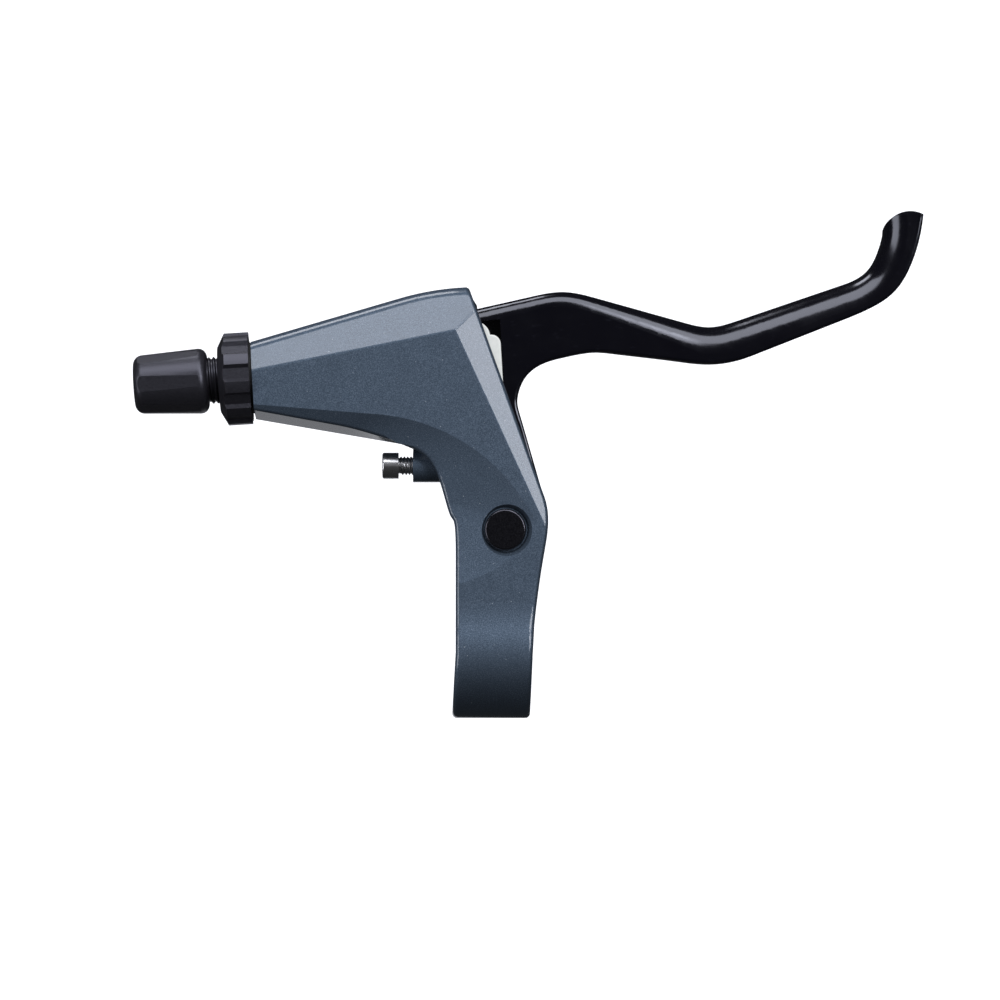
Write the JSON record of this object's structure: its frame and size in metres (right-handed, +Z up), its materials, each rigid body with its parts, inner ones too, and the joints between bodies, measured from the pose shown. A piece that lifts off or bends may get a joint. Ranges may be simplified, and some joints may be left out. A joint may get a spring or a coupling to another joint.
{
  "type": "bicycle brake lever",
  "caption": "Flat-bar bicycle brake lever with a faceted metallic bracket, a black curved two-finger blade, barrel adjuster and bar clamp.",
  "frame": {"origin": "centre of the handlebar clamp's bore", "axes": "+X along the handlebar towards the lever's tip, +Y forward away from the rider, +Z up"},
  "size_m": [0.1659, 0.1066, 0.0284],
  "materials": {
    "slate_paint": "satin",
    "black_paint": "gloss",
    "black_anodised": "satin",
    "black_steel": "satin",
    "black_rubber": "matte",
    "white_plastic": "satin",
    "bush_plastic": "matte",
    "steel": "satin"
  },
  "bodies": {
    "bracket": {"bracket": "slate_paint", "pivot_pin": "black_steel", "pivot_washer": "steel", "retaining_ring": "steel", "return_spring": "steel", "nose_seal": "black_rubber", "clamp_bolt": "steel"},
    "lever": {"brake_lever": "black_paint", "upper_bush": "bush_plastic", "lower_bush": "bush_plastic"},
    "slider": {"cable_slider": "white_plastic", "slider_screw": "steel"},
    "hook": {"cable_hook": "steel"},
    "barrel": {"barrel_adjuster": "black_anodised"},
    "nut": {"lock_nut": "black_anodised"},
    "reach": {"reach_screw": "steel"}
  },
  "joints": [
    {"name": "lever_pull", "type": "hinge", "parent": "bracket", "child": "lever", "pos_m": [0.0025, 0.0256, 0.0044], "axis": [0, 0, -1], "range_deg": [0, 36], "stiffness_Nm_per_rad": 0.15, "springref_deg": -34.38, "deforming": ["return_spring"]},
    {"name": "slider_shift", "type": "slide", "parent": "lever", "child": "slider", "axis": [0.0593, -0.9982, 0], "range_m": [0, 0.0075]},
    {"name": "hook_swivel", "type": "hinge", "parent": "slider", "child": "hook", "pos_m": [-0.005, 0.06016, 0.006], "axis": [0, 0, 1], "range_deg": [-6, 34]},
    {"name": "barrel_travel", "type": "slide", "parent": "bracket", "child": "barrel", "axis": [-0.9982, -0.0593, 0], "range_m": [-0.0022, 0.006]},
    {"name": "lock_nut_turn", "type": "hinge", "parent": "bracket", "child": "nut", "pos_m": [-0.05434, 0.05723, 0.0044], "axis": [-0.9982, -0.0593, 0], "range_deg": [0, 180]},
    {"name": "reach_travel", "type": "slide", "parent": "bracket", "child": "reach", "axis": [1, 0, 0], "range_m": [-0.0015, 0.0019]}
  ]
}
